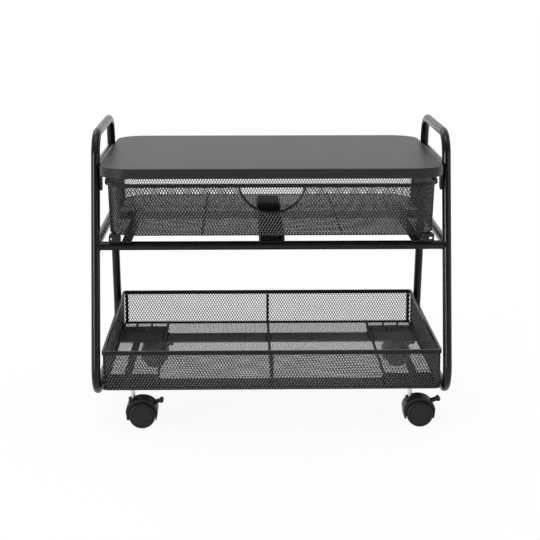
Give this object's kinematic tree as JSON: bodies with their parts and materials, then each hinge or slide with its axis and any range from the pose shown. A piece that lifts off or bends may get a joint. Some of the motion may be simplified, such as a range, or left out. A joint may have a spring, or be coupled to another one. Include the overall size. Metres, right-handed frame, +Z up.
{
  "type": "under-desk machine stand",
  "caption": "Rolling two-tier stand with bent-tube side frames and handles, a rounded board top, a pull-out mesh drawer, an open mesh tray and braked swivel casters.",
  "frame": {"origin": "on the floor, under the centre of the stand's bounding box", "axes": "+X to the right across the width, +Y from the drawer front to the back, +Z up"},
  "size_m": [0.508, 0.354, 0.422],
  "materials": {
    "black_paint": "satin black powder coat",
    "board": "matte dark laminate on a fibre board",
    "black_plastic": "moulded black",
    "zinc": "zinc plated"
  },
  "bodies": {
    "frame": {"left_side_frame": "black_paint", "right_side_frame": "black_paint", "left_top_rail": "black_paint", "right_top_rail": "black_paint", "left_mid_rail": "black_paint", "right_mid_rail": "black_paint", "front_cross_bar": "black_paint", "rear_cross_bar": "black_paint", "board_top": "board", "front_left_board_bracket": "black_paint", "front_right_board_bracket": "black_paint", "rear_left_board_bracket": "black_paint", "rear_right_board_bracket": "black_paint", "left_drawer_runner": "black_paint", "right_drawer_runner": "black_paint", "slide_fixed_channel": "black_paint", "tray_floor": "black_paint", "tray_front_wall": "black_paint", "tray_rear_wall": "black_paint", "tray_left_wall": "black_paint", "tray_right_wall": "black_paint", "tray_rim": "black_paint", "tray_wire_frame": "black_paint", "front_caster_beam": "black_paint", "rear_caster_beam": "black_paint", "left_base_bar": "black_paint", "right_base_bar": "black_paint", "front_left_caster_stem": "zinc", "front_right_caster_stem": "zinc", "rear_left_caster_stem": "zinc", "rear_right_caster_stem": "zinc"},
    "drawer": {"drawer_wall": "black_paint", "drawer_floor": "black_paint", "drawer_rim": "black_paint", "drawer_pull_trim": "black_paint", "drawer_left_floor_wire": "black_paint", "drawer_right_floor_wire": "black_paint", "drawer_left_glide": "black_plastic", "drawer_right_glide": "black_plastic", "slide_moving_channel": "black_paint"},
    "front_left_caster": {"front_left_caster_hood": "black_plastic"},
    "front_right_caster": {"front_right_caster_hood": "black_plastic"},
    "rear_left_caster": {"rear_left_caster_hood": "black_plastic"},
    "rear_right_caster": {"rear_right_caster_hood": "black_plastic"},
    "front_left_wheels": {"front_left_caster_axle": "zinc", "front_left_caster_near_wheel": "black_plastic", "front_left_caster_far_wheel": "black_plastic"},
    "front_right_wheels": {"front_right_caster_axle": "zinc", "front_right_caster_near_wheel": "black_plastic", "front_right_caster_far_wheel": "black_plastic"},
    "rear_left_wheels": {"rear_left_caster_axle": "zinc", "rear_left_caster_near_wheel": "black_plastic", "rear_left_caster_far_wheel": "black_plastic"},
    "rear_right_wheels": {"rear_right_caster_axle": "zinc", "rear_right_caster_near_wheel": "black_plastic", "rear_right_caster_far_wheel": "black_plastic"},
    "front_left_brake": {"front_left_caster_brake_lever": "black_plastic"},
    "front_right_brake": {"front_right_caster_brake_lever": "black_plastic"},
    "rear_left_brake": {"rear_left_caster_brake_lever": "black_plastic"},
    "rear_right_brake": {"rear_right_caster_brake_lever": "black_plastic"}
  },
  "joints": [
    {"name": "drawer_slide", "type": "slide", "parent": "frame", "child": "drawer", "axis": [0, -1, 0], "range_m": [0, 0.22]},
    {"name": "front_left_swivel", "type": "hinge", "parent": "frame", "child": "front_left_caster", "pos_m": [-0.1985, -0.144, 0.0385], "axis": [0, 0, 1], "continuous": true},
    {"name": "front_right_swivel", "type": "hinge", "parent": "frame", "child": "front_right_caster", "pos_m": [0.1985, -0.144, 0.0385], "axis": [0, 0, 1], "continuous": true},
    {"name": "rear_left_swivel", "type": "hinge", "parent": "frame", "child": "rear_left_caster", "pos_m": [-0.1985, 0.144, 0.0385], "axis": [0, 0, 1], "continuous": true},
    {"name": "rear_right_swivel", "type": "hinge", "parent": "frame", "child": "rear_right_caster", "pos_m": [0.1985, 0.144, 0.0385], "axis": [0, 0, 1], "continuous": true},
    {"name": "front_left_roll", "type": "hinge", "parent": "front_left_caster", "child": "front_left_wheels", "pos_m": [-0.185, -0.144, 0.019], "axis": [0, 1, 0], "continuous": true},
    {"name": "front_right_roll", "type": "hinge", "parent": "front_right_caster", "child": "front_right_wheels", "pos_m": [0.212, -0.144, 0.019], "axis": [0, 1, 0], "continuous": true},
    {"name": "rear_left_roll", "type": "hinge", "parent": "rear_left_caster", "child": "rear_left_wheels", "pos_m": [-0.185, 0.144, 0.019], "axis": [0, 1, 0], "continuous": true},
    {"name": "rear_right_roll", "type": "hinge", "parent": "rear_right_caster", "child": "rear_right_wheels", "pos_m": [0.212, 0.144, 0.019], "axis": [0, 1, 0], "continuous": true},
    {"name": "front_left_brake_press", "type": "hinge", "parent": "front_left_caster", "child": "front_left_brake", "pos_m": [-0.16952, -0.144, 0.03407], "axis": [0, 1, 0], "range_deg": [0, 15]},
    {"name": "front_right_brake_press", "type": "hinge", "parent": "front_right_caster", "child": "front_right_brake", "pos_m": [0.22748, -0.144, 0.03407], "axis": [0, 1, 0], "range_deg": [0, 15]},
    {"name": "rear_left_brake_press", "type": "hinge", "parent": "rear_left_caster", "child": "rear_left_brake", "pos_m": [-0.16952, 0.144, 0.03407], "axis": [0, 1, 0], "range_deg": [0, 15]},
    {"name": "rear_right_brake_press", "type": "hinge", "parent": "rear_right_caster", "child": "rear_right_brake", "pos_m": [0.22748, 0.144, 0.03407], "axis": [0, 1, 0], "range_deg": [0, 15]}
  ]
}
